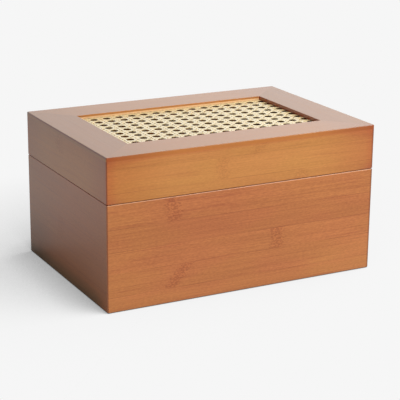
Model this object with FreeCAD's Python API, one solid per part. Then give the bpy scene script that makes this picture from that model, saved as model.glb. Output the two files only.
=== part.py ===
import FreeCAD, Part
import math
import os
from FreeCAD import Vector

# Bamboo storage box: a mitred base, and a hinged lid whose top frame holds a woven cane panel.
# Millimetres. The origin is the centre of the underside. +X runs along the front, from left to
# right, +Y points to the hinged back, and +Z is up. The lid is closed.

# Box
box_width = 290.0
box_depth = 200.0
base_height = 105.0
lid_height = 44.7
seam_gap = 0.3
wall_thickness = 10.0
outer_edge_radius = 1.5
rim_edge_radius = 1.0

# Floor, held in a rebate of the base walls and flush with their underside
floor_thickness = 5.0
floor_rebate = 5.0

# Top frame, laid flush on the lid rails
frame_thickness = 4.0
frame_border = 39.0
frame_edge_radius = 0.8
opening_edge_radius = 0.5

# Cane panel, clamped under the top frame
cane_thickness = 1.6
cane_pitch_x = 13.94
cane_pitch_y = 12.5
cane_hole_x = 6.6
cane_hole_y = 6.2
cane_selvedge = 4.0
cane_hole_corner_share = 0.52

# Strips that clamp the cane's margin, set back out of sight from the opening
retainer_width = 9.0
retainer_thickness = 5.0
retainer_setback = 1.0

# Splines hidden in the mitred corners
spline_width = 7.0
spline_thickness = 2.5
spline_cover = 8.0

# Brads of the floor and of the retainers
brad_radius = 0.6
brad_head_radius = 1.1
brad_head_height = 0.6
brad_set = 0.4
floor_brad_length = 13.0
floor_brads_long_count = 4
floor_brads_short_count = 3
retainer_brad_cover = 1.5
retainer_brads_long_count = 4
retainer_brads_short_count = 3

# Stop hinges: the leaves are let into the edges of the back wall and the back rail.
# The inset runs from the end of the box to the middle of a hinge.
hinge_inset = 60.0
hinge_length = 36.0
leaf_thickness = 1.6
leaf_cover = 2.0
knuckle_radius = 2.6
knuckle_count = 5
pin_radius = 1.0
pin_head_radius = 1.7
pin_head_height = 0.6
stop_lip = 1.5
stop_half_angle = 48.0

# Screws of the hinge leaves
screw_spacing = 22.0
screw_length = 9.0
screw_radius = 1.1
screw_head_radius = 2.1
screw_head_height = 1.2
screw_tip_length = 1.6
screw_slot_width = 0.5
screw_slot_depth = 0.5

# Fits
glue_clearance = 0.1
fastener_clearance = 0.05
pin_clearance = 0.05
knuckle_clearance = 0.3
cut_overrun = 3.0
touch_tolerance = 0.001

# Heights and places worked out from the sizes above
lid_bottom = base_height + seam_gap
lid_top = lid_bottom + lid_height
frame_bottom = lid_top - frame_thickness
cane_bottom = frame_bottom - cane_thickness
retainer_bottom = cane_bottom - retainer_thickness
opening_width = box_width - 2 * frame_border
opening_depth = box_depth - 2 * frame_border
cane_margin = retainer_setback + retainer_width
pin_y = box_depth / 2 + knuckle_radius + knuckle_clearance
pin_z = base_height + seam_gap / 2
stop_radius = knuckle_radius + knuckle_clearance + stop_lip
leaf_width = wall_thickness - leaf_cover
screw_y = box_depth / 2 - leaf_width / 2
hinge_x = box_width / 2 - hinge_inset
hinge_places = {"left": -hinge_x, "right": hinge_x}
screw_places = [-screw_spacing / 2, screw_spacing / 2]
base_spline_span = (floor_thickness + spline_cover, base_height - spline_cover)
lid_spline_span = (lid_bottom + spline_cover, frame_bottom - spline_cover)

UP = Vector(0, 0, 1)
ALONG = Vector(1, 0, 0)

# Corners as shares of half the width and half the depth, and the two corners that each side joins
corner_shares = {
    "front_left": (-1, -1),
    "front_right": (1, -1),
    "back_right": (1, 1),
    "back_left": (-1, 1),
}
side_corners = {
    "front": ("front_left", "front_right"),
    "right": ("front_right", "back_right"),
    "back": ("back_right", "back_left"),
    "left": ("back_left", "front_left"),
}


def block(x_low, x_high, y_low, y_high, z_low, z_high):
    return Part.makeBox(x_high - x_low, y_high - y_low, z_high - z_low, Vector(x_low, y_low, z_low))


def centred_block(width, depth, z_low, z_high):
    return block(-width / 2, width / 2, -depth / 2, depth / 2, z_low, z_high)


def rod(radius, start, end, direction=UP, place=Vector(0, 0, 0)):
    """Cylinder along a direction through place, from start to end."""
    return Part.makeCylinder(radius, end - start, place + direction * start, direction)


def is_upright(edge):
    low, high = edge.Vertexes[0].Point, edge.Vertexes[-1].Point
    return math.hypot(high.x - low.x, high.y - low.y) < touch_tolerance


def is_level(edge, z):
    return all(abs(vertex.Z - z) < touch_tolerance for vertex in edge.Vertexes)


def round_level_edges(shape, z, radius):
    return shape.makeFillet(radius, [edge for edge in shape.Edges if is_level(edge, z)])


def round_upright_edges(shape, radius):
    return shape.makeFillet(radius, [edge for edge in shape.Edges if is_upright(edge)])


def mitre_members(ring, width, depth, reach):
    """Cut a rectangular ring into its front, right, back and left members at 45 degrees."""
    z_low = ring.BoundBox.ZMin - cut_overrun
    rise = UP * (ring.BoundBox.ZLength + 2 * cut_overrun)

    def corner(name, inset):
        sign_x, sign_y = corner_shares[name]
        return Vector(sign_x * (width / 2 - inset), sign_y * (depth / 2 - inset), z_low)

    members = {}
    for side, (first, second) in side_corners.items():
        inner = reach + cut_overrun
        outline = [corner(first, -cut_overrun), corner(second, -cut_overrun)]
        outline += [corner(second, inner), corner(first, inner)]
        wedge = Part.Face(Part.makePolygon(outline + outline[:1])).extrude(rise)
        members[side] = ring.common(wedge)
    return members


def spread(length, count):
    """Evenly spaced places along a length that is centred on zero."""
    return [length * ((index + 0.5) / count - 0.5) for index in range(count)]


def ring_places(width, depth, long_count, short_count):
    """Places along the four sides of a centred rectangle."""
    places = [(x, sign * depth / 2) for x in spread(width, long_count) for sign in (-1, 1)]
    places += [(sign * width / 2, y) for y in spread(depth, short_count) for sign in (-1, 1)]
    return places


def corner_splines(span, clearance=0.0):
    """The four loose tongues of a mitred ring, or with a clearance the slots that take them."""
    z_low, z_high = span
    width = spline_width + 2 * clearance
    thickness = spline_thickness + 2 * clearance
    splines = []
    for sign_x, sign_y in corner_shares.values():
        spline = centred_block(width, thickness, z_low - clearance, z_high + clearance)
        spline.rotate(Vector(0, 0, 0), UP, math.degrees(math.atan2(sign_x, -sign_y)))
        inset = wall_thickness / 2
        spline.translate(Vector(sign_x * (box_width / 2 - inset), sign_y * (box_depth / 2 - inset), 0))
        splines.append(spline)
    return Part.makeCompound(splines)


def brads(places, z_low, length, clearance=0.0):
    """Brads driven upwards and set below the surface, or with a clearance the holes for them."""
    head_low = z_low if clearance else z_low + brad_set
    head_high = z_low + brad_set + brad_head_height
    tip = head_high + length + clearance
    group = []
    for x, y in places:
        head = rod(brad_head_radius + clearance, head_low, head_high, place=Vector(x, y, 0))
        shank = rod(brad_radius + clearance, head_low, tip, place=Vector(x, y, 0))
        group.append(head.fuse(shank).removeSplitter())
    return Part.makeCompound(group)


def floor_brads(clearance=0.0):
    """Up through the floor's edge into the shoulder of the walls' rebate."""
    inset = wall_thickness - floor_rebate / 2
    places = ring_places(box_width - 2 * inset, box_depth - 2 * inset,
                         floor_brads_long_count, floor_brads_short_count)
    return brads(places, 0, floor_brad_length, clearance)


def retainer_brads(clearance=0.0):
    """Up through the retainers and the cane into the top frame, short of its upper face."""
    outset = retainer_setback + retainer_width / 2
    places = ring_places(opening_width + 2 * outset, opening_depth + 2 * outset,
                         retainer_brads_long_count, retainer_brads_short_count)
    head_top = retainer_bottom + brad_set + brad_head_height
    return brads(places, retainer_bottom, lid_top - retainer_brad_cover - head_top, clearance)


def flip_to_lid(shape):
    """Mirror a hinge piece of the base into its partner in the lid."""
    return shape.mirror(Vector(0, pin_y, pin_z), UP)


def at_both_hinges(shape):
    """A compound with a copy of the shape at each hinge."""
    copies = [shape.translated(ALONG * x) for x in hinge_places.values()]
    return Part.makeCompound(copies)


def knuckle_span(index):
    """Ends of one knuckle along the pin, with the hinge centred on zero."""
    pitch = hinge_length / knuckle_count
    return -hinge_length / 2 + index * pitch, -hinge_length / 2 + (index + 1) * pitch


def barrel(radius, start, end):
    return rod(radius, start, end, ALONG, Vector(0, pin_y, pin_z))


def stop_lug():
    """The lip under the barrel whose bevelled end meets the other leaf's when the lid is open."""
    reach = stop_radius + cut_overrun
    angle = math.radians(stop_half_angle)
    offsets = [(0, 0), (reach * math.cos(angle), -reach * math.sin(angle))]
    offsets += [(reach * math.cos(angle), -reach), (-reach, -reach), (-reach, 0)]
    start = -hinge_length / 2
    outline = [Vector(start, pin_y + y, pin_z + z) for y, z in offsets]
    wedge = Part.Face(Part.makePolygon(outline + outline[:1])).extrude(ALONG * hinge_length)
    outside = block(start, -start, box_depth / 2, pin_y + reach, pin_z - reach, base_height)
    return barrel(stop_radius, start, -start).common(wedge).common(outside)


def hinge_leaf(own, other):
    """Leaf in the base wall's edge: own and other are the knuckles of this leaf and of its partner."""
    half = hinge_length / 2
    plate = block(-half, half, box_depth / 2 - leaf_width, pin_y, base_height - leaf_thickness, base_height)
    leaf = plate.fuse(stop_lug())
    for index in other:
        start, end = knuckle_span(index)
        leaf = leaf.cut(barrel(knuckle_radius + knuckle_clearance, start, end))
    for index in own:
        start, end = knuckle_span(index)
        inner_start = start if index == 0 else start + knuckle_clearance / 2
        inner_end = end if index == knuckle_count - 1 else end - knuckle_clearance / 2
        leaf = leaf.fuse(barrel(knuckle_radius, inner_start, inner_end))
    leaf = leaf.cut(barrel(pin_radius + pin_clearance, -half - cut_overrun, half + cut_overrun))
    for x in screw_places:
        leaf = leaf.cut(hinge_screw(fastener_clearance).translated(ALONG * x))
    return leaf.removeSplitter()


def hinge_pin():
    """Plain pin with a flat riveted head at each end, clear of the knuckles by the pin's clearance."""
    start = -hinge_length / 2 - pin_clearance
    pin = barrel(pin_radius, start, -start)
    for inner, outer in ((-start, -start + pin_head_height), (start - pin_head_height, start)):
        pin = pin.fuse(barrel(pin_head_radius, inner, outer))
    return pin.removeSplitter()


def hinge_screw(clearance=0.0):
    """Countersunk screw in the base leaf, or with a clearance the hole that takes it."""
    neck = base_height - screw_head_height
    tip = base_height - screw_length - clearance
    place = Vector(0, screw_y, 0)
    shank_radius = screw_radius + clearance
    head_radius = screw_head_radius + clearance
    head = Part.makeCone(shank_radius, head_radius, screw_head_height, place + UP * neck)
    shank = rod(shank_radius, tip + screw_tip_length, neck, place=place)
    point = Part.makeCone(0, shank_radius, screw_tip_length, place + UP * tip)
    screw = head.fuse([shank, point]).removeSplitter()
    if clearance:
        return screw
    slot = centred_block(2 * screw_head_radius, screw_slot_width, base_height - screw_slot_depth,
                         base_height + cut_overrun)
    return screw.cut(slot.translated(place))


def leaf_mortise():
    """Housing in the base wall's edge for one leaf and the pilot holes of its screws."""
    half = hinge_length / 2 + glue_clearance
    front = box_depth / 2 - leaf_width - glue_clearance
    housing = block(-half, half, front, box_depth / 2 + cut_overrun,
                    base_height - leaf_thickness, base_height + cut_overrun)
    for x in screw_places:
        housing = housing.fuse(hinge_screw(fastener_clearance).translated(ALONG * x))
    return housing


def base_walls():
    """Four boards mitred at the corners, rebated for the floor and housed for the hinge leaves."""
    ring = centred_block(box_width, box_depth, 0, base_height)
    lower = [edge for edge in ring.Edges if is_upright(edge) or is_level(edge, 0)]
    ring = ring.makeFillet(outer_edge_radius, lower)
    ring = round_level_edges(ring, base_height, rim_edge_radius)
    inner_width = box_width - 2 * wall_thickness
    inner_depth = box_depth - 2 * wall_thickness
    ring = ring.cut(centred_block(inner_width, inner_depth, -cut_overrun, base_height + cut_overrun))
    ring = ring.cut(centred_block(inner_width + 2 * floor_rebate, inner_depth + 2 * floor_rebate,
                                  -cut_overrun, floor_thickness))
    ring = ring.cut(corner_splines(base_spline_span, glue_clearance))
    ring = ring.cut(floor_brads(fastener_clearance))
    ring = ring.cut(at_both_hinges(leaf_mortise()))
    return mitre_members(ring, box_width, box_depth, wall_thickness)


def base_floor():
    """Panel that fills the rebate, flush with the underside."""
    inset = wall_thickness - floor_rebate + glue_clearance
    panel = centred_block(box_width - 2 * inset, box_depth - 2 * inset, 0, floor_thickness)
    return panel.cut(floor_brads(fastener_clearance))


def lid_rails():
    """Four boards mitred at the corners that carry the top frame."""
    ring = centred_block(box_width, box_depth, lid_bottom, frame_bottom)
    ring = round_upright_edges(ring, outer_edge_radius)
    ring = round_level_edges(ring, lid_bottom, rim_edge_radius)
    ring = ring.cut(centred_block(box_width - 2 * wall_thickness, box_depth - 2 * wall_thickness,
                                  lid_bottom - cut_overrun, frame_bottom + cut_overrun))
    ring = ring.cut(corner_splines(lid_spline_span, glue_clearance))
    ring = ring.cut(at_both_hinges(flip_to_lid(leaf_mortise())))
    return mitre_members(ring, box_width, box_depth, wall_thickness)


def top_frame():
    """Four thin, wide members mitred at the corners round the opening."""
    ring = centred_block(box_width, box_depth, frame_bottom, lid_top)
    ring = round_upright_edges(ring, outer_edge_radius)
    ring = round_level_edges(ring, lid_top, frame_edge_radius)
    ring = ring.cut(centred_block(opening_width, opening_depth, frame_bottom, lid_top))
    mouth = [edge for edge in ring.Edges if is_level(edge, lid_top) and is_in_opening(edge)]
    ring = ring.makeFillet(opening_edge_radius, mouth)
    ring = ring.cut(retainer_brads(fastener_clearance))
    return mitre_members(ring, box_width, box_depth, frame_border)


def is_in_opening(edge):
    middle = edge.CenterOfMass
    half_width = opening_width / 2 + touch_tolerance
    half_depth = opening_depth / 2 + touch_tolerance
    return abs(middle.x) < half_width and abs(middle.y) < half_depth


def octagon(x, y, z):
    """Closed outline of one gap in the weave."""
    share = cane_hole_corner_share
    shares = [(1, share), (share, 1), (-share, 1), (-1, share)]
    shares += [(-1, -share), (-share, -1), (share, -1), (1, -share)]
    points = [Vector(x + cane_hole_x / 2 * u, y + cane_hole_y / 2 * v, z) for u, v in shares]
    return Part.makePolygon(points + points[:1])


def cane_panel():
    """The woven sheet as one holed face: its gaps lie on a grid centred on the opening."""
    width = opening_width + 2 * cane_margin
    depth = opening_depth + 2 * cane_margin
    columns = int((width - 2 * cane_selvedge) / cane_pitch_x)
    rows = int((depth - 2 * cane_selvedge) / cane_pitch_y)
    low = Vector(-width / 2, -depth / 2, cane_bottom)
    outline = Part.makePlane(width, depth, low).OuterWire
    gaps = [octagon(x, y, cane_bottom)
            for x in spread(columns * cane_pitch_x, columns)
            for y in spread(rows * cane_pitch_y, rows)]
    sheet = Part.makeFace([outline] + gaps, "Part::FaceMakerBullseye").extrude(UP * cane_thickness)
    return sheet.cut(retainer_brads(fastener_clearance))


def cane_retainers():
    """Four strips mitred at the corners that press the cane's margin up against the frame."""
    inner_width = opening_width + 2 * retainer_setback
    inner_depth = opening_depth + 2 * retainer_setback
    outer_width = inner_width + 2 * retainer_width
    outer_depth = inner_depth + 2 * retainer_width
    ring = centred_block(outer_width, outer_depth, retainer_bottom, cane_bottom)
    ring = ring.cut(centred_block(inner_width, inner_depth, retainer_bottom, cane_bottom))
    ring = ring.cut(retainer_brads(fastener_clearance))
    return mitre_members(ring, outer_width, outer_depth, retainer_width)


def save(node, shape):
    shape.exportStep("parts/" + node + ".step")


def main():
    os.makedirs("parts", exist_ok=True)

    for side, wall in base_walls().items():
        save("base_" + side + "_wall", wall)
    save("base_floor", base_floor())
    save("base_corner_splines", corner_splines(base_spline_span))
    save("floor_brads", floor_brads())

    for side, rail in lid_rails().items():
        save("lid_" + side + "_rail", rail)
    save("lid_corner_splines", corner_splines(lid_spline_span))
    for side, member in top_frame().items():
        save("top_frame_" + side, member)
    save("cane_panel", cane_panel())
    for side, strip in cane_retainers().items():
        save("cane_retainer_" + side, strip)
    save("retainer_brads", retainer_brads())

    base_knuckles = list(range(0, knuckle_count, 2))
    lid_knuckles = list(range(1, knuckle_count, 2))
    base_leaf = hinge_leaf(base_knuckles, lid_knuckles)
    lid_leaf = flip_to_lid(hinge_leaf(lid_knuckles, base_knuckles))
    for side, x in hinge_places.items():
        save(side + "_hinge_base_leaf", base_leaf.translated(ALONG * x))
        save(side + "_hinge_lid_leaf", lid_leaf.translated(ALONG * x))
        save(side + "_hinge_pin", hinge_pin().translated(ALONG * x))
    screws = [hinge_screw().translated(ALONG * x) for x in screw_places]
    leaf_screws = Part.makeCompound(screws)
    save("base_hinge_screws", at_both_hinges(leaf_screws))
    save("lid_hinge_screws", at_both_hinges(flip_to_lid(leaf_screws)))


main()
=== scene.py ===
import bmesh
import bpy
import math
import random
from mathutils import Matrix, Vector


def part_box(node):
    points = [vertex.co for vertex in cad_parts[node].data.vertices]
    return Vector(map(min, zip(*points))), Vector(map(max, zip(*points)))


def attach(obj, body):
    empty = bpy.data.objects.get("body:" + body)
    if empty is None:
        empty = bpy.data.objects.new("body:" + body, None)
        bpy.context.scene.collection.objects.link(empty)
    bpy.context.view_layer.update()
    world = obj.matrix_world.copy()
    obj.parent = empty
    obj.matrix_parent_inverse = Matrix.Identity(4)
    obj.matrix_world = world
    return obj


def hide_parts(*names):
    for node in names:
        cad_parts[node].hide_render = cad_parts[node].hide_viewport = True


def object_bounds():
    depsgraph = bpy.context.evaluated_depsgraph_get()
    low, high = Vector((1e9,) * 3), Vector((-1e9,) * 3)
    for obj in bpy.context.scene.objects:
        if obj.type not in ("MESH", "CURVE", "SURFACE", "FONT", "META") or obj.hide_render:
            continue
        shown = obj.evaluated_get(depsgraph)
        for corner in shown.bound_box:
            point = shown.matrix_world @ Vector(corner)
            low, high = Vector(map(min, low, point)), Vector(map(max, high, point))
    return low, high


# Bamboo storage box: a mitred base, and a hinged lid whose top frame holds a woven cane panel.
# Metres. The origin is the centre of the underside, +X runs along the front from left to right,
# +Y points to the hinged back, and +Z is up.
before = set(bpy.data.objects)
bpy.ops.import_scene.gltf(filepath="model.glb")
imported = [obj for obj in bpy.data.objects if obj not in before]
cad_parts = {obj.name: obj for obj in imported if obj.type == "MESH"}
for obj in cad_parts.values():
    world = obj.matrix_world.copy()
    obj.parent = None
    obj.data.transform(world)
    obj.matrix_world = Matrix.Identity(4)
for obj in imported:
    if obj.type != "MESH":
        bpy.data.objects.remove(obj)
cad_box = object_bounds()


# Base walls
# Four boards of flat-pressed bamboo, glued up from strips about 22 mm wide, stained caramel and
# satin lacquered. They are mitred at the corners, and their arrises are eased by hand.
SIDES = ("front", "right", "back", "left")
AXES = {"X": 0, "Y": 1, "Z": 2}
# The box reaches as far behind the middle as in front of it, and only the hinges stand out more
half_width, half_depth = cad_box[1][0], -cad_box[0][1]
# Rings are counted along the grain from the middle of a board, and no_ring is past its end
ring_reach = 0.2
no_ring = -ring_reach


def add_node(tree, kind, inputs, **settings):
    """Add a shader node. Each input is a value, or the socket that feeds it."""
    node = tree.nodes.new("ShaderNode" + kind)
    for setting, value in settings.items():
        setattr(node, setting, value)
    for socket, value in inputs.items():
        if isinstance(value, bpy.types.NodeSocket):
            tree.links.new(value, node.inputs[socket])
        else:
            node.inputs[socket].default_value = value
    return node


def calculate(tree, operation, *values):
    """One sum of a Math node."""
    return add_node(tree, "Math", dict(enumerate(values)), operation=operation).outputs[0]


def fade(tree, value, start, end, low=0.0, high=1.0):
    """low up to start, high from end on, and a smooth step between."""
    inputs = {"Value": value, "From Min": start, "From Max": end, "To Min": low, "To Max": high}
    return add_node(tree, "MapRange", inputs, interpolation_type="SMOOTHSTEP").outputs[0]


def pull(tree, mixture, noise, strength):
    """Tip a mixture up or down by how far a noise is off its middle."""
    off_middle = calculate(tree, "SUBTRACT", noise, 0.5)
    return calculate(tree, "MULTIPLY_ADD", off_middle, strength, mixture)


def mix_colours(tree, share, first, second, blend_type="MIX"):
    inputs = {0: share, 6: first, 7: second}
    return add_node(tree, "Mix", inputs, data_type="RGBA", blend_type=blend_type).outputs[2]


def opaque(colour):
    return (*colour, 1.0)


def stretched_noise(tree, place, cells, detail, roughness, offset=None):
    """Noise with so many cells to the metre on each axis."""
    spread = add_node(tree, "VectorMath", {0: place, 1: cells}, operation="MULTIPLY").outputs[0]
    if offset is not None:
        spread = add_node(tree, "VectorMath", {0: spread, 1: offset}, operation="ADD").outputs[0]
    inputs = {"Vector": spread, "Scale": 1.0, "Detail": detail, "Roughness": roughness}
    return add_node(tree, "TexNoise", inputs).outputs[0]


def new_material(name):
    material = bpy.data.materials.new(name)
    material.use_nodes = True
    shader = next(n for n in material.node_tree.nodes if n.type == "BSDF_PRINCIPLED")
    return material, material.node_tree, shader


def raise_surface(tree, shader, height, strength, distance):
    bump = add_node(tree, "Bump", {"Height": height, "Strength": strength, "Distance": distance})
    tree.links.new(bump.outputs[0], shader.inputs["Normal"])


def draw_strips(seed, width, spread=0.12, ringed=True):
    """Strips of uneven width for a board, each with a tone and a ring, which may miss the board."""
    narrow, wide, offcut = 0.019, 0.024, 0.008
    furthest_ring, most_slant = 0.19, 0.25
    chance = random.Random(seed)
    strips = []
    left = width
    while left > 0:
        strip = min(left, chance.uniform(narrow, wide))
        strip = left if left - strip < offcut else strip
        tone = 0.5 + chance.uniform(-spread, spread)
        ring = chance.uniform(-furthest_ring, furthest_ring)
        slant = chance.uniform(-most_slant, most_slant)
        strips.append((strip, tone, ring if ringed else no_ring, slant))
        left -= strip
    return strips


class Bamboo:
    """The look of a piece of flat-pressed bamboo: stained here, tinted by its section, lacquered.

    grain and width are the axes along and across the strips, which start at low, and face is the
    axis that the broad sides look along. Each strip is (width, tone, place of its ring along the
    grain, slant of that ring). stain is the darkest and the lightest colour, figure says how
    strongly the grain tells, and ring_depth how dark the rings are."""

    def __init__(self, name, grain, width, face, low, strips, stain, figure=1.0, ring_depth=1.0):
        self.material, self.tree, self.shader = new_material(name)
        coordinates = add_node(self.tree, "TexCoord", {}).outputs
        self.place = coordinates["Object"]
        self.axes = add_node(self.tree, "SeparateXYZ", {0: self.place}).outputs
        self.normals = add_node(self.tree, "SeparateXYZ", {0: coordinates["Normal"]}).outputs
        self.grain, self.face = grain, face
        self.along, self.across, self.height = self.axes[grain], self.axes[width], self.axes["Z"]
        self.read_strips(low, strips)
        self.stain(stain, figure)
        self.mark_rings(low, stain, ring_depth)
        self.rule_joints(figure)

    def calculate(self, operation, *values):
        return calculate(self.tree, operation, *values)

    def fade(self, value, start, end, low=0.0, high=1.0):
        return fade(self.tree, value, start, end, low, high)

    def overlap(self, first, *others):
        """Where all of these shares meet."""
        for other in others:
            first = self.calculate("MULTIPLY", first, other)
        return first

    def tint(self, share, colour):
        """Multiply the colour, as a thin stain does."""
        self.colour = mix_colours(self.tree, share, self.colour, opaque(colour), "MULTIPLY")

    def cover(self, share, colour):
        """Hide the colour under another."""
        self.colour = mix_colours(self.tree, share, self.colour, opaque(colour))

    def grain_noise(self, along_cells, across_cells, detail):
        """Noise with so many cells to the metre, different in each strip."""
        cells = [across_cells] * 3
        cells[AXES[self.grain]] = along_cells
        return stretched_noise(self.tree, self.place, cells, detail, 0.55, self.strip_seed)

    def read_strips(self, low, strips):
        """Look up a point's strip: tone, foot of its ring and slant ride in one ramp's colours."""
        board = sum(strip[0] for strip in strips)
        span = {"Value": self.across, "From Min": low, "From Max": low + board}
        share = add_node(self.tree, "MapRange", span).outputs[0]
        lookup = add_node(self.tree, "ValToRGB", {0: share})
        ramp = lookup.color_ramp
        ramp.interpolation = "CONSTANT"
        self.joint_places = []
        start = 0.0
        for index, (strip, tone, ring, slant) in enumerate(strips):
            element = ramp.elements[0] if index == 0 else ramp.elements.new(start / board)
            element.position = start / board
            foot = ring - slant * (start + strip / 2)
            element.color = (tone, (foot + ring_reach) / (2 * ring_reach), (slant + 1) / 2, 1.0)
            if index:
                self.joint_places.append(low + start)
            start += strip
        if len(ramp.elements) > len(strips):
            ramp.elements.remove(ramp.elements[-1])
        facts = add_node(self.tree, "SeparateColor", {0: lookup.outputs[0]}).outputs
        self.tone = facts[0]
        self.ring_foot = self.calculate("MULTIPLY_ADD", facts[1], 2 * ring_reach, -ring_reach)
        self.ring_slant = self.calculate("MULTIPLY_ADD", facts[2], 2.0, -1.0)
        # Far enough apart that no two strips show the same grain
        spread = {0: lookup.outputs[0], "Scale": 37.0}
        self.strip_seed = add_node(self.tree, "VectorMath", spread, operation="SCALE").outputs[0]

    def stain(self, stain, figure):
        """Fibres, pores and broad bands along the grain tip the stain from dark to light."""
        patch_red, red_balance = (1.015, 0.957, 1.04), (0.9925, 1.022, 0.977)
        streak_brown = (0.90, 0.82, 0.84)
        self.fibres = self.grain_noise(14.0, 700.0, 2.0)
        pores = self.grain_noise(300.0, 1100.0, 2.0)
        bands = self.grain_noise(5.0, 90.0, 2.0)
        mixture = self.tone
        for noise, strength in ((self.fibres, 0.70), (pores, 0.90), (bands, 0.42)):
            mixture = pull(self.tree, mixture, noise, strength * figure)
        dark, light = stain
        self.colour = mix_colours(self.tree, mixture, opaque(dark), opaque(light))
        patches = self.grain_noise(14.0, 40.0, 1.0)
        self.tint(1.0, red_balance)
        self.tint(self.fade(patches, 0.36, 0.64, 0.5 - figure / 2, 0.5 + figure / 2), patch_red)
        streaks = self.grain_noise(11.0, 330.0, 2.0)
        self.tint(self.fade(streaks, 0.58, 0.72, 0.0, figure), streak_brown)

    def mark_rings(self, low, stain, ring_depth):
        """A stem joint's ring: dark and light flecks across one strip, thinning out sideways."""
        soak, ring_brown = (0.52, 0.24, 0.20), (0.97, 0.87, 0.86)
        pale_share, brown_share, dark_share = 0.35, 0.5, 0.31
        thinning = -14.0
        dark, light = stain
        self.soaked = [depth * channel for depth, channel in zip(soak, dark)]
        depth_in = self.calculate("SUBTRACT", self.across, low)
        ring_place = self.calculate("MULTIPLY_ADD", self.ring_slant, depth_in, self.ring_foot)
        for across_cells, sway in ((160.0, 0.010), (900.0, 0.008)):
            waver = self.grain_noise(20.0, across_cells, 1.0)
            ring_place = pull(self.tree, ring_place, waver, sway)
        offset = self.calculate("ABSOLUTE", self.calculate("SUBTRACT", self.along, ring_place))
        flecks = self.grain_noise(460.0, 820.0, 1.0)
        flecks = self.calculate("MULTIPLY_ADD", offset, thinning, flecks)
        band = self.fade(offset, 0.010, 0.002, 0.0, ring_depth)
        wide_band = self.fade(offset, 0.011, 0.007, 0.0, ring_depth)
        self.rings = self.overlap(wide_band, self.fade(flecks, 0.41, 0.53))
        self.cover(self.overlap(band, self.fade(flecks, 0.38, 0.26, 0.0, pale_share)), light)
        self.tint(self.overlap(band, brown_share), ring_brown)
        self.cover(self.overlap(self.rings, dark_share), self.soaked)

    def rule_joints(self, figure):
        """The glue lines between strips, which show in some places and fade in others."""
        half_line = 0.0002
        faint, clear = 0.10 * figure, 0.55 * figure
        self.joints = 0.0
        for place in self.joint_places:
            line = self.calculate("COMPARE", self.across, place, half_line)
            self.joints = self.calculate("ADD", line, self.joints)
        showing = self.fade(self.grain_noise(13.0, 30.0, 1.0), 0.40, 0.60, faint, clear)
        self.cover(self.overlap(self.joints, showing), self.soaked)

    def facing(self):
        """How squarely the surface looks the way that the broad sides do."""
        return self.calculate("ABSOLUTE", self.normals[self.face])

    def edges(self, start=0.95, end=0.65):
        """The sawn edges, from somewhere on the rounded arris on."""
        return self.fade(self.facing(), start, end)

    def arris(self):
        """The rounded arris between a broad side and an edge."""
        off_side = self.fade(self.facing(), 0.97, 0.85)
        off_edge = self.fade(self.facing(), 0.25, 0.45)
        return self.overlap(off_side, off_edge)

    def end(self, half_length, start, stop, way=0):
        """The stretch near an end, in shares of the half length: way is 1 or -1, and 0 for both."""
        out = self.calculate("DIVIDE", self.along, way * half_length if way else half_length)
        return self.fade(out if way else self.calculate("ABSOLUTE", out), start, stop)

    def lacquer(self):
        """Satin lacquer over the grain, which still tells in the sheen."""
        satin, fibre_dulling, ring_dulling = 0.33, 0.12, 0.08
        ring_relief, joint_relief = -0.3, -0.8
        self.tree.links.new(self.colour, self.shader.inputs["Base Color"])
        roughness = self.calculate("MULTIPLY_ADD", self.fibres, fibre_dulling, satin)
        roughness = self.calculate("MULTIPLY_ADD", self.rings, ring_dulling, roughness)
        self.tree.links.new(roughness, self.shader.inputs["Roughness"])
        relief = self.calculate("MULTIPLY_ADD", self.rings, ring_relief, self.fibres)
        relief = self.calculate("MULTIPLY_ADD", self.joints, joint_relief, relief)
        raise_surface(self.tree, self.shader, relief, strength=0.1, distance=0.0004)
        self.shader.inputs["Coat Weight"].default_value = 0.5
        self.shader.inputs["Coat Roughness"].default_value = 0.2
        return self.material


def side_axes(side):
    """The axis along a side of the box, and the one that points out of it."""
    return ("X", "Y") if side in ("front", "back") else ("Y", "X")


def paint_corner_shade(wood, half_length):
    """Painted shade on a board's upright arrises and near its ends; at the left, half on the arris
    and none at the end.
    """
    corner_arris_shade, end_shade = (0.45, 0.37, 0.37), (0.64, 0.60, 0.62)
    last_stretch = (0.976, 0.992)
    shade_ramp_start, shade_ramp_end, left_arris_shade_share = -0.1, 0.1, 0.5
    arris_shade_share = wood.fade(wood.axes["X"], shade_ramp_start, shade_ramp_end, left_arris_shade_share, 1.0)
    end_shade_share = wood.fade(wood.axes["X"], shade_ramp_start, shade_ramp_end)
    upright = wood.fade(wood.calculate("ABSOLUTE", wood.normals[wood.grain]), 0.1, 0.4)
    wood.tint(wood.overlap(wood.arris(), upright, arris_shade_share), corner_arris_shade)
    wood.tint(wood.overlap(wood.end(half_length, *last_stretch), end_shade_share), end_shade)


def give_finish(node, material):
    """Put a material on a CAD node in place of the one that it was packed with."""
    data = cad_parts[node].data
    data.materials.clear()
    data.materials.append(material)


base_stain = ((0.38, 0.0990, 0.0245), (0.69, 0.240, 0.069))
base_low, base_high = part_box("base_front_wall")[0].z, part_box("base_front_wall")[1].z
plain_spread, plain_figure, plain_rings = 0.05, 0.55, 0.35
base_strips = {
    "front": [
        (0.0150, 0.63, no_ring, 0.0),
        (0.0230, 0.58, -0.0717, 0.72),
        (0.0210, 0.54, 0.0347, 0.0),
        (0.0220, 0.46, no_ring, 0.0),
        (0.0240, 0.53, -0.0772, 0.0),
    ],
    "right": draw_strips(11, base_high - base_low),
    "back": draw_strips(12, base_high - base_low),
    "left": draw_strips(13, base_high - base_low, plain_spread),
}
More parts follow.
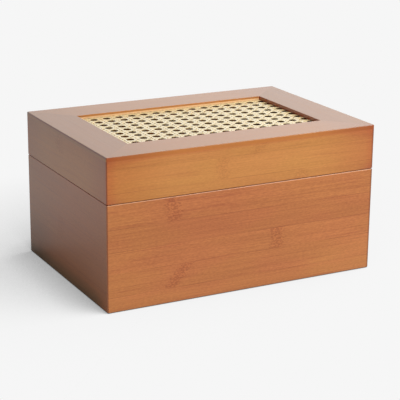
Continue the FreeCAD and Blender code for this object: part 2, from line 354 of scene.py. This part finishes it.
# Sawn edges take the stain's soak. The other two tints are painted shade: on the underside arris
# and at the foot
soaked_edge, underside_arris_shade, foot_shade = (0.74, 0.50, 0.39), (0.30, 0.22, 0.22), (0.80, 0.84, 0.92)
foot_shade_full_height, foot_shade_top_height = 0.0008, 0.0030
rim_wear_and_highlight, rim_wear_and_highlight_share = (0.84, 0.50, 0.30), 0.6
pale_right, yellow_left = (1.04, 1.07, 1.05), (1.035, 1.075, 1.02)
yellow_corner = (1.045, 1.09, 1.08)
left_back_shade, left_foot_shade, left_low_back_shade = (0.84, 0.93, 1.0), (0.60, 0.83, 1.04), (0.78, 0.80, 0.76)
for side in SIDES:
    grain, outward = side_axes(side)
    half_length = half_width if grain == "X" else half_depth
    # The left board is a plain one, whose grain and rings hardly tell
    plain = side == "left"
    wood = Bamboo("base " + side + " bamboo", grain, "Z", outward, base_low, base_strips[side],
                  base_stain, figure=plain_figure if plain else 1.0,
                  ring_depth=plain_rings if plain else 1.0)
    wood.tint(wood.edges(), soaked_edge)
    # Wear and a painted highlight pale the upper rim arris, except on the left board, which is in
    # shade
    if not plain:
        rim = wood.fade(wood.normals["Z"], 0.1, 0.4, 0.0, rim_wear_and_highlight_share)
        wood.cover(wood.overlap(wood.arris(), rim), rim_wear_and_highlight)
    # Painted shade along the arris under each board
    underside = wood.fade(wood.normals["Z"], -0.1, -0.4)
    wood.tint(wood.overlap(wood.arris(), underside), underside_arris_shade)
    # Painted shade darkens each board over its lowest 3 mm
    wood.tint(wood.fade(wood.height, foot_shade_top_height, foot_shade_full_height), foot_shade)
    paint_corner_shade(wood, half_length)
    if side == "front":
        right_end = wood.fade(wood.along, 0.05, 0.10)
        low_part = wood.fade(wood.height, 0.045, 0.015)
        wood.tint(wood.fade(wood.along, 0.02, 0.10), pale_right)
        wood.tint(wood.fade(wood.along, -0.08, -0.12), yellow_left)
        wood.tint(wood.overlap(right_end, low_part), yellow_corner)
    # Painted shade on the left board: darker towards the back, at the foot away from the front
    # corner, and low at the back
    if plain:
        foot, low_part = wood.fade(wood.height, 0.019, 0.002), wood.fade(wood.height, 0.055, 0.03)
        past_corner = wood.fade(wood.along, -0.095, -0.07)
        back_half = wood.fade(wood.along, 0.02, 0.08)
        wood.tint(wood.fade(wood.along, -0.02, 0.10), left_back_shade)
        wood.tint(wood.overlap(foot, past_corner), left_foot_shade)
        wood.tint(wood.overlap(low_part, back_half), left_low_back_shade)
    give_finish("base_" + side + "_wall", wood.lacquer())


# Base floor
# One flat bamboo panel, let into a rebate under the walls so that it is flush with their underside.
# It has the walls' stain and strips that run from end to end.
floor_low, floor_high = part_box("base_floor")
floor_strips = draw_strips(14, floor_high.y - floor_low.y)
wood = Bamboo("floor bamboo", "X", "Y", "Z", floor_low.y, floor_strips, base_stain)
wood.tint(wood.edges(), soaked_edge)
give_finish("base_floor", wood.lacquer())


# Splines and brads of the base
# Loose bamboo tongues lie glued in slots across the mitres, out of sight. Steel brads hold the
# floor, their small heads set just below its underside.
bare_stain = ((0.52, 0.30, 0.13), (0.74, 0.50, 0.26))
stock_width = 0.3
spline_strips = draw_strips(15, stock_width)
spline_bamboo = Bamboo("spline bamboo", "Z", "X", "Z", -stock_width / 2, spline_strips,
                       bare_stain).lacquer()
give_finish("base_corner_splines", spline_bamboo)


def metal(name, bright, dull, roughness, drawn):
    """Metal with fine lines along the axis that it was drawn on, and a patchy, duller skin."""
    line_cells = [2600.0] * 3
    line_cells[AXES[drawn]] = 60.0
    patch_cells = [240.0] * 3
    patch_dulling, line_dulling = 0.25, 0.12
    material, tree, shader = new_material(name)
    place = add_node(tree, "TexCoord", {}).outputs["Object"]
    lines = stretched_noise(tree, place, line_cells, 2.0, 0.5)
    patches = stretched_noise(tree, place, patch_cells, 4.0, 0.6)
    colour = mix_colours(tree, fade(tree, patches, 0.42, 0.7), opaque(bright), opaque(dull))
    tree.links.new(colour, shader.inputs["Base Color"])
    shine = calculate(tree, "MULTIPLY_ADD", patches, patch_dulling, roughness)
    shine = calculate(tree, "MULTIPLY_ADD", lines, line_dulling, shine)
    tree.links.new(shine, shader.inputs["Roughness"])
    raise_surface(tree, shader, lines, strength=0.1, distance=0.0001)
    shader.inputs["Metallic"].default_value = 1.0
    return material


steel = metal("brad steel", (0.62, 0.61, 0.59), (0.36, 0.34, 0.32), 0.28, "Z")
give_finish("floor_brads", steel)


# Lid rails
# Four shallower boards of the same bamboo, mitred and splined as the base is. They took the stain
# a little lighter and yellower than the base, and redder along the top and towards the corners.
lid_stain = ((0.46, 0.159, 0.030), (0.76, 0.324, 0.080))
rail_low, rail_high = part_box("lid_front_rail")[0].z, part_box("lid_front_rail")[1].z
rail_figure, rail_rings = 0.75, 0.45
rail_strips = {
    "front": [
        (0.0097, 0.52, 0.0615, 0.0),
        (0.0215, 0.60, -0.0254, 0.0),
        (0.0095, 0.48, 0.0135, 0.0),
    ],
    "right": draw_strips(21, rail_high - rail_low),
    "back": draw_strips(22, rail_high - rail_low),
    "left": draw_strips(23, rail_high - rail_low, plain_spread),
}
red_end, orange_end, corner_red = (0.89, 0.76, 0.78), (0.90, 0.77, 0.62), (0.95, 0.80, 0.78)
top_red, foot_red = (0.92, 0.76, 0.74), (0.90, 0.80, 0.97)
left_rail, left_top = (0.98, 0.90, 0.98), (0.88, 0.87, 0.88)
# Stretches of a board towards its ends, in shares of its half length
outer_half, last_third = (0.45, 1.0), (0.7, 1.0)
near_corner, foot_stretch = (0.91, 1.0), (0.85, 0.97)
top_reach, corner_reach, foot_reach, left_top_reach = 0.003, 0.010, 0.010, 0.02
for side in SIDES:
    grain, outward = side_axes(side)
    half_length = half_width if grain == "X" else half_depth
    plain = side == "left"
    wood = Bamboo("lid " + side + " bamboo", grain, "Z", outward, rail_low, rail_strips[side],
                  lid_stain, figure=plain_figure if plain else rail_figure, ring_depth=rail_rings)
    drop = wood.calculate("SUBTRACT", rail_high, wood.height)
    wood.tint(wood.edges(), soaked_edge)
    wood.tint(wood.end(half_length, *outer_half, way=1), red_end)
    wood.tint(wood.end(half_length, *outer_half, way=-1), orange_end if grain == "X" else red_end)
    wood.tint(wood.end(half_length, *near_corner), corner_red)
    if grain == "X":
        # The red along the top reaches further down at the corners
        corners = wood.end(half_length, *last_third)
        reach = wood.calculate("MULTIPLY_ADD", corners, corner_reach, top_reach)
        wood.tint(wood.fade(drop, reach, 0.0), top_red)
        rise = wood.calculate("SUBTRACT", wood.height, rail_low)
        foot = wood.fade(rise, foot_reach, 0.0)
        wood.tint(wood.overlap(foot, wood.end(half_length, *foot_stretch)), foot_red)
    # Painted shade darkens the left rail towards the back; then the rail is tinted all over, and
    # darker near its top
    if plain:
        wood.tint(wood.fade(wood.along, -0.02, 0.10), left_back_shade)
        wood.tint(1.0, left_rail)
        wood.tint(wood.fade(drop, left_top_reach, 0.0), left_top)
    paint_corner_shade(wood, half_length)
    give_finish("lid_" + side + "_rail", wood.lacquer())
give_finish("lid_corner_splines", spline_bamboo)


# Top frame
# Four thin, wide bamboo members laid flush on the rails and mitred round the cane. Their sawn edges
# took the stain in their own way, so a band shows along the top of the front. The lower half of the
# back member's inner edge is paler.
long_stain = ((0.33, 0.109, 0.0232), (0.543, 0.2225, 0.0472))
# The left and right members' stain is darker: painted shade for how their grain, running front to
# back, catches less light
end_stain_and_shade = ((0.24, 0.080, 0.0187), (0.40, 0.165, 0.038))
frame_spread, frame_figure = 0.04, 0.4
# Tints of the front and back members
long_edge, long_edge_end, long_arris_shade = (1.29, 1.13, 0.87), (0.90, 0.62, 0.26), (0.75, 0.80, 0.85)
long_inner_edge, back_lip = (1.24, 1.19, 1.12), (0.88, 0.57, 0.30)
long_left_shade, long_right_shade = (0.80, 0.80, 0.85), (0.80, 0.84, 1.5)
# Tints of the left and right members
end_edge, end_edge_line, end_arris_shade = (1.35, 1.31, 1.28), (0.65, 0.38, 0.22), (0.42, 0.30, 0.26)
end_inner_edge_shade = (0.85, 0.35, 0.08)
# Depths in from the rim and down from the top, at which a tint starts and at which it is full
rim_start, rim_full = 0.012, 0.002
lip_start, lip_full = 0.0016, 0.0026
line_start, line_full = 0.0022, 0.0012
past_arris = (0.45, 0.2)
for seed, side in enumerate(SIDES, start=31):
    grain, outward = side_axes(side)
    half_breadth = half_depth if grain == "X" else half_width
    low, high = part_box("top_frame_" + side)
    border_low, border_high = low[AXES[outward]], high[AXES[outward]]
    strips = draw_strips(seed, border_high - border_low, frame_spread, ringed=False)
    wood = Bamboo("top " + side + " bamboo", grain, outward, "Z", border_low, strips,
                  long_stain if grain == "X" else end_stain_and_shade, figure=frame_figure)
    out = wood.calculate("ABSOLUTE", wood.across)
    outer_part = wood.fade(out, half_breadth - rim_start, half_breadth - rim_full)
    inner_part = wood.fade(out, half_breadth - rim_full, half_breadth - rim_start)
    inner_edge = wood.overlap(wood.edges(), inner_part)
    outer_arris = wood.overlap(wood.arris(), outer_part)
    if grain == "X":
        outer_edge = wood.overlap(wood.edges(), outer_part)
        wood.tint(outer_edge, long_edge)
        wood.tint(inner_edge, long_inner_edge)
        wood.tint(wood.overlap(outer_edge, wood.end(half_width, *outer_half)), long_edge_end)
        # Painted shade darkens both ends of the member, with more blue at the right
        wood.tint(wood.end(half_width, *outer_half, way=-1), long_left_shade)
        wood.tint(wood.end(half_width, *outer_half, way=1), long_right_shade)
        # Painted shade along the outer arris
        wood.tint(outer_arris, long_arris_shade)
        wood.tint(wood.end(half_width, *near_corner), corner_red)
        if side == "back":
            lower_half = wood.fade(wood.height, high.z - lip_start, high.z - lip_full)
            wood.cover(wood.overlap(inner_edge, lower_half), back_lip)
    else:
        outer_edge = wood.overlap(wood.edges(*past_arris), outer_part)
        line = wood.fade(wood.height, high.z - line_start, high.z - line_full)
        wood.tint(outer_edge, end_edge)
        wood.tint(wood.overlap(outer_edge, line), end_edge_line)
        # Painted shade, redder, on the inner edges, which face across the opening
        wood.tint(inner_edge, end_inner_edge_shade)
        # Painted shade along the outer arris
        wood.tint(outer_arris, end_arris_shade)
    give_finish("top_frame_" + side, wood.lacquer())


# Cane panel
# A sheet of woven rattan skin: pairs of strands cross at right angles, and single strands run both
# ways slantwise between them, so eight-sided gaps stay open. Its margin is clamped under the frame.
cane_low, cane_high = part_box("cane_panel")
pitch_x, pitch_y = 0.01394, 0.0125
strand_thickness = 0.00026
pair_rise, slant_rise = 0.00016, 0.00024
upright_width, upright_offset = 0.0024, 0.0018
level_width, level_offset = 0.0022, 0.0015
slant_width = 0.0018
steps_per_pitch, fewest_steps = 8, 4
# The webbing is pressed up against the underside of the frame. Half of a strand's thickness and
# its crown, a quarter more, lie above its middle.
cane_middle = cane_high.z - slant_rise - 0.75 * strand_thickness
# It lies a little nearer the front than the back, and is woven round the origin first
weave_shift = Vector((0.0, -0.0023, 0.0))
weave_low, weave_high = cane_low - weave_shift, cane_high - weave_shift

weave = bmesh.new()
strand_uv = weave.loops.layers.uv.new("strand")
strands = []


def lay_strand(start, end, width, pitches, height):
    """One flat strand from start to end, crowned across its width. height gives its rise."""
    run = Vector(end) - Vector(start)
    along = run.normalized()
    sideways = Vector((-along.y, along.x))
    steps = max(fewest_steps, int(pitches * steps_per_pitch))
    grid = bmesh.ops.create_grid(weave, x_segments=steps, y_segments=2, size=0.5)["verts"]
    for vert in grid:
        share, across = vert.co.x + 0.5, vert.co.y
        point = Vector(start) + run * share + sideways * (across * width)
        crown = (0.25 - across * across) * strand_thickness
        vert.co = (point.x, point.y, cane_middle + height(point) + crown)
    for face in {face for vert in grid for face in vert.link_faces}:
        for loop in face.loops:
            offset = Vector(loop.vert.co.xy) - Vector(start)
            loop[strand_uv].uv = (len(strands) + offset.dot(along), offset.dot(sideways))
    strands.append(grid)


def over_and_under(place, pitch, offset):
    """Rise of a strand that passes under one strand of each crossing pair and over the other."""
    turn = (place / pitch + 0.5) % 1.0 - 0.5
    out = abs(turn) * pitch
    if out <= offset:
        wave = math.sin(math.pi / 2 * out / offset)
    else:
        wave = math.cos(math.pi / 2 * (out - offset) / (pitch / 2 - offset))
    return math.copysign(pair_rise * wave, turn)


columns = int(weave_high.x / pitch_x) + 1
rows = int(weave_high.y / pitch_y) + 1
for column in range(-columns, columns + 1):
    for half in (-1, 1):
        x = column * pitch_x + half * upright_offset
        if x - upright_width / 2 < weave_low.x or x + upright_width / 2 > weave_high.x:
            continue

        def upright_height(point, half=half):
            return half * over_and_under(point.y, pitch_y, level_offset)

        lay_strand((x, weave_low.y), (x, weave_high.y), upright_width,
                   (weave_high.y - weave_low.y) / pitch_y, upright_height)
for row in range(-rows, rows + 1):
    for half in (-1, 1):
        y = row * pitch_y + half * level_offset
        if y - level_width / 2 < weave_low.y or y + level_width / 2 > weave_high.y:
            continue

        def level_height(point, half=half):
            return -half * over_and_under(point.x, pitch_x, upright_offset)

        lay_strand((weave_low.x, y), (weave_high.x, y), level_width,
                   (weave_high.x - weave_low.x) / pitch_x, level_height)
for lean in (-1, 1):
    slope = lean * pitch_y / pitch_x

    def slant_height(point, lean=lean):
        return lean * slant_rise * math.cos(2 * math.pi * point.x / pitch_x)

    for index in range(-columns - rows, columns + rows):
        # A slanting strand crosses y = 0 half a pitch off the uprights
        crossing = (index + 0.5) * pitch_x
        reach = sorted((crossing + weave_low.y / slope, crossing + weave_high.y / slope))
        first = max(reach[0], weave_low.x) + slant_width / 2
        last = min(reach[1], weave_high.x) - slant_width / 2
        if last - first < pitch_x:
            continue
        lay_strand((first, (first - crossing) * slope), (last, (last - crossing) * slope),
                   slant_width, (last - first) / pitch_x, slant_height)
bmesh.ops.translate(weave, verts=weave.verts, vec=weave_shift)

cane_mesh = bpy.data.meshes.new("woven_cane")
weave.to_mesh(cane_mesh)
weave.free()
woven_cane = bpy.data.objects.new("woven_cane", cane_mesh)
bpy.context.scene.collection.objects.link(woven_cane)
skin = woven_cane.modifiers.new("strand thickness", "SOLIDIFY")
skin.thickness = strand_thickness
skin.offset = 0.0

rattan_dark, rattan_light, rattan_pith = (0.97, 0.71, 0.31), (1.0, 0.90, 0.58), (0.50, 0.36, 0.17)
cane_finish, tree, shader = new_material("rattan skin")
strand = add_node(tree, "UVMap", {}, uv_map="strand").outputs[0]
tones = stretched_noise(tree, strand, (2.3, 1.0, 1.0), 1.0, 0.5)
streaks = stretched_noise(tree, strand, (70.0, 2600.0, 1.0), 3.0, 0.6)
blotches = stretched_noise(tree, strand, (130.0, 300.0, 1.0), 2.0, 0.5)
mixture = 0.5
for noise, strength in ((tones, 1.0), (streaks, 0.9), (blotches, 0.6)):
    mixture = pull(tree, mixture, noise, strength)
colour = mix_colours(tree, mixture, opaque(rattan_dark), opaque(rattan_light))
# The glossy skin is on top, and the dull pith side shows from inside the lid
looks = add_node(tree, "TexCoord", {}).outputs["Normal"]
upward = add_node(tree, "SeparateXYZ", {0: looks}).outputs["Z"]
colour = mix_colours(tree, fade(tree, upward, 0.0, -0.3), colour, opaque(rattan_pith))
tree.links.new(colour, shader.inputs["Base Color"])
skin_gloss, streak_dulling = 0.32, 0.2
roughness = calculate(tree, "MULTIPLY_ADD", streaks, streak_dulling, skin_gloss)
tree.links.new(roughness, shader.inputs["Roughness"])
raise_surface(tree, shader, streaks, strength=0.15, distance=0.0002)
shader.inputs["Coat Weight"].default_value = 0.8
shader.inputs["Coat Roughness"].default_value = 0.22
woven_cane.data.materials.append(cane_finish)
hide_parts("cane_panel")
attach(woven_cane, "lid")


# Cane retainers
# Four thin bamboo strips, mitred and bradded up against the frame from inside the lid, that clamp
# the margin of the cane. They take the darker colour of the frame's end members, painted shade and
# all, and are set back, so none of them shows through the opening.
for seed, side in enumerate(SIDES, start=41):
    grain, outward = side_axes(side)
    low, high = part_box("cane_retainer_" + side)
    strip_low, strip_high = low[AXES[outward]], high[AXES[outward]]
    wood = Bamboo("retainer " + side + " bamboo", grain, outward, "Z", strip_low,
                  draw_strips(seed, strip_high - strip_low), end_stain_and_shade)
    wood.tint(wood.edges(), soaked_edge)
    give_finish("cane_retainer_" + side, wood.lacquer())
give_finish("retainer_brads", steel)


# Hinges
# Two brass stop hinges let into the back edges: rolled knuckles on a pin with riveted heads, and
# countersunk slotted screws. A lip under the barrel stops the lid just past upright.
brass = metal("hinge brass", (0.83, 0.60, 0.27), (0.55, 0.36, 0.14), 0.2, "X")
for side in ("left", "right"):
    for piece in ("_hinge_base_leaf", "_hinge_lid_leaf", "_hinge_pin"):
        give_finish(side + piece, brass)
give_finish("base_hinge_screws", brass)
give_finish("lid_hinge_screws", brass)


# Studio
# A plain pale paper floor under soft lights: a key from the front right, one above, broad fills in
# front and behind, and a bright wall behind at the right that gives the top its sheen. The camera
# stands where the photo's did.
floor_reach, floor_drop = 12.0, 0.0002
floor_mesh = bpy.data.meshes.new("studio_floor")
sweep = bmesh.new()
bmesh.ops.create_grid(sweep, x_segments=1, y_segments=1, size=floor_reach,
                      matrix=Matrix.Translation((0, 0, -floor_drop)))
sweep.to_mesh(floor_mesh)
sweep.free()
studio_floor = bpy.data.objects.new("studio_floor", floor_mesh)
bpy.context.scene.collection.objects.link(studio_floor)


def direction(azimuth, elevation):
    """Unit vector from the box towards a light: azimuth 0 is in front, 90 is at the right."""
    turn, rise = math.radians(azimuth), math.radians(elevation)
    level = math.cos(rise)
    return Vector((math.sin(turn) * level, -math.cos(turn) * level, math.sin(rise)))


def by_ray(tree, room, mirrored, seen):
    """One level for light that goes round the room, one for a gloss and one for the camera."""
    path = add_node(tree, "LightPath", {}).outputs
    level = add_node(tree, "Mix", {0: path["Is Glossy Ray"], 2: room, 3: mirrored}).outputs[0]
    return add_node(tree, "Mix", {0: path["Is Camera Ray"], 2: level, 3: seen}).outputs[0]


paper_white, paper_mirrored, paper_bounce = 0.9216, 0.63, 0.30
white = (1.0, 1.0, 1.0, 1.0)
floor_finish = bpy.data.materials.new("studio floor paper")
floor_finish.use_nodes = True
floor_finish.cycles.emission_sampling = "NONE"
tree = floor_finish.node_tree
tree.nodes.remove(next(n for n in tree.nodes if n.type == "BSDF_PRINCIPLED"))
key_side = dict(zip("XYZ", direction(34.0, 25.0)))
towards_key = add_node(tree, "CombineXYZ", key_side).outputs[0]


def shadow(reach, depth, fall, spared):
    """How much light is left where the box hides more than a spared share of the key's side."""
    around = {"Distance": reach, "Normal": towards_key}
    open_sky = add_node(tree, "AmbientOcclusion", around, samples=12).outputs["AO"]
    span = {"Value": open_sky, "From Min": 1.0 - spared, "From Max": 0.0}
    hidden = add_node(tree, "MapRange", span).outputs[0]
    return calculate(tree, "MULTIPLY_ADD", calculate(tree, "POWER", hidden, fall), -depth, 1.0)


# The floor's shadows are painted: occlusion towards the key's side dims its glow, and more in
# reflections and bounced light
broad_shadow = shadow(reach=0.28, depth=1.30, fall=1.8, spared=0.0)
contact_shadow = shadow(reach=0.045, depth=0.56, fall=1.0, spared=0.12)
lit = calculate(tree, "MULTIPLY", broad_shadow, contact_shadow)
dimmed = calculate(tree, "MULTIPLY", lit, lit)
bounced = calculate(tree, "MULTIPLY", dimmed, paper_bounce)
mirrored = calculate(tree, "MULTIPLY", dimmed, paper_mirrored)
strength = calculate(tree, "MULTIPLY", lit, by_ray(tree, bounced, mirrored, paper_white))
paper = add_node(tree, "Emission", {"Color": white, "Strength": strength})
tree.links.new(paper.outputs[0], tree.nodes["Material Output"].inputs["Surface"])
floor_mesh.materials.append(floor_finish)

room_light, wall_light, wall_glow = 0.16, 0.90, 1.36
glow_edge, glow_core = math.cos(math.radians(46)), math.cos(math.radians(20))
world = bpy.data.worlds.new("studio world")
bpy.context.scene.world = world
world.use_nodes = True
tree = world.node_tree
background = next(n for n in tree.nodes if n.type == "BACKGROUND")
background.inputs["Color"].default_value = white
sight = add_node(tree, "TexCoord", {}).outputs["Generated"]
wall_side = {0: sight, 1: direction(120.0, 15.0)}
towards_wall = add_node(tree, "VectorMath", wall_side, operation="DOT_PRODUCT").outputs["Value"]
glow = fade(tree, towards_wall, glow_edge, glow_core, wall_light, wall_glow)
level = by_ray(tree, room_light, glow, paper_white)
tree.links.new(level, background.inputs["Strength"])

lights_aim = Vector((0.0, 0.0, 0.09))


def softbox(name, azimuth, elevation, distance, size, power, mirrored=True):
    """A square soft light that faces the box. A low one isn't mirrored, or the top would glare."""
    lamp = bpy.data.lights.new(name, "AREA")
    lamp.energy = power
    lamp.size = size
    box = bpy.data.objects.new(name, lamp)
    way = direction(azimuth, elevation)
    box.location = lights_aim + way * distance
    box.rotation_euler = (-way).to_track_quat("-Z", "Y").to_euler()
    box.visible_camera = False
    box.visible_glossy = mirrored
    bpy.context.scene.collection.objects.link(box)


softbox("key softbox", 45.0, 42.0, distance=0.70, size=0.35, power=1.55)
softbox("front softbox", -5.0, 7.0, distance=1.6, size=1.0, power=15.7, mirrored=False)
softbox("top softbox", 70.0, 76.0, distance=1.0, size=0.7, power=3.8)
softbox("back fill", 180.0, 2.0, distance=1.6, size=1.0, power=6.0, mirrored=False)

view_azimuth, view_elevation = math.radians(-27.772), math.radians(17.037)
view_roll, view_distance = math.radians(0.552), 1.4023
view_aim = Vector((0.01056, 0.0144, 0.05851))
pixels_wide, focal_pixels, sensor = 400, 1352.17, 36.0
camera_data = bpy.data.cameras.new("camera")
camera_data.sensor_width = sensor
camera_data.lens = sensor * focal_pixels / pixels_wide
camera = bpy.data.objects.new("camera", camera_data)
swing = Matrix.Rotation(view_azimuth, 4, "Z")
tilt = Matrix.Rotation(math.pi / 2 - view_elevation, 4, "X")
roll = Matrix.Rotation(view_roll, 4, "Z")
back_off = Matrix.Translation((0, 0, view_distance))
camera.matrix_world = Matrix.Translation(view_aim) @ swing @ tilt @ roll @ back_off
bpy.context.scene.collection.objects.link(camera)
bpy.context.scene.camera = camera
bpy.context.scene.view_settings.view_transform = "Standard"
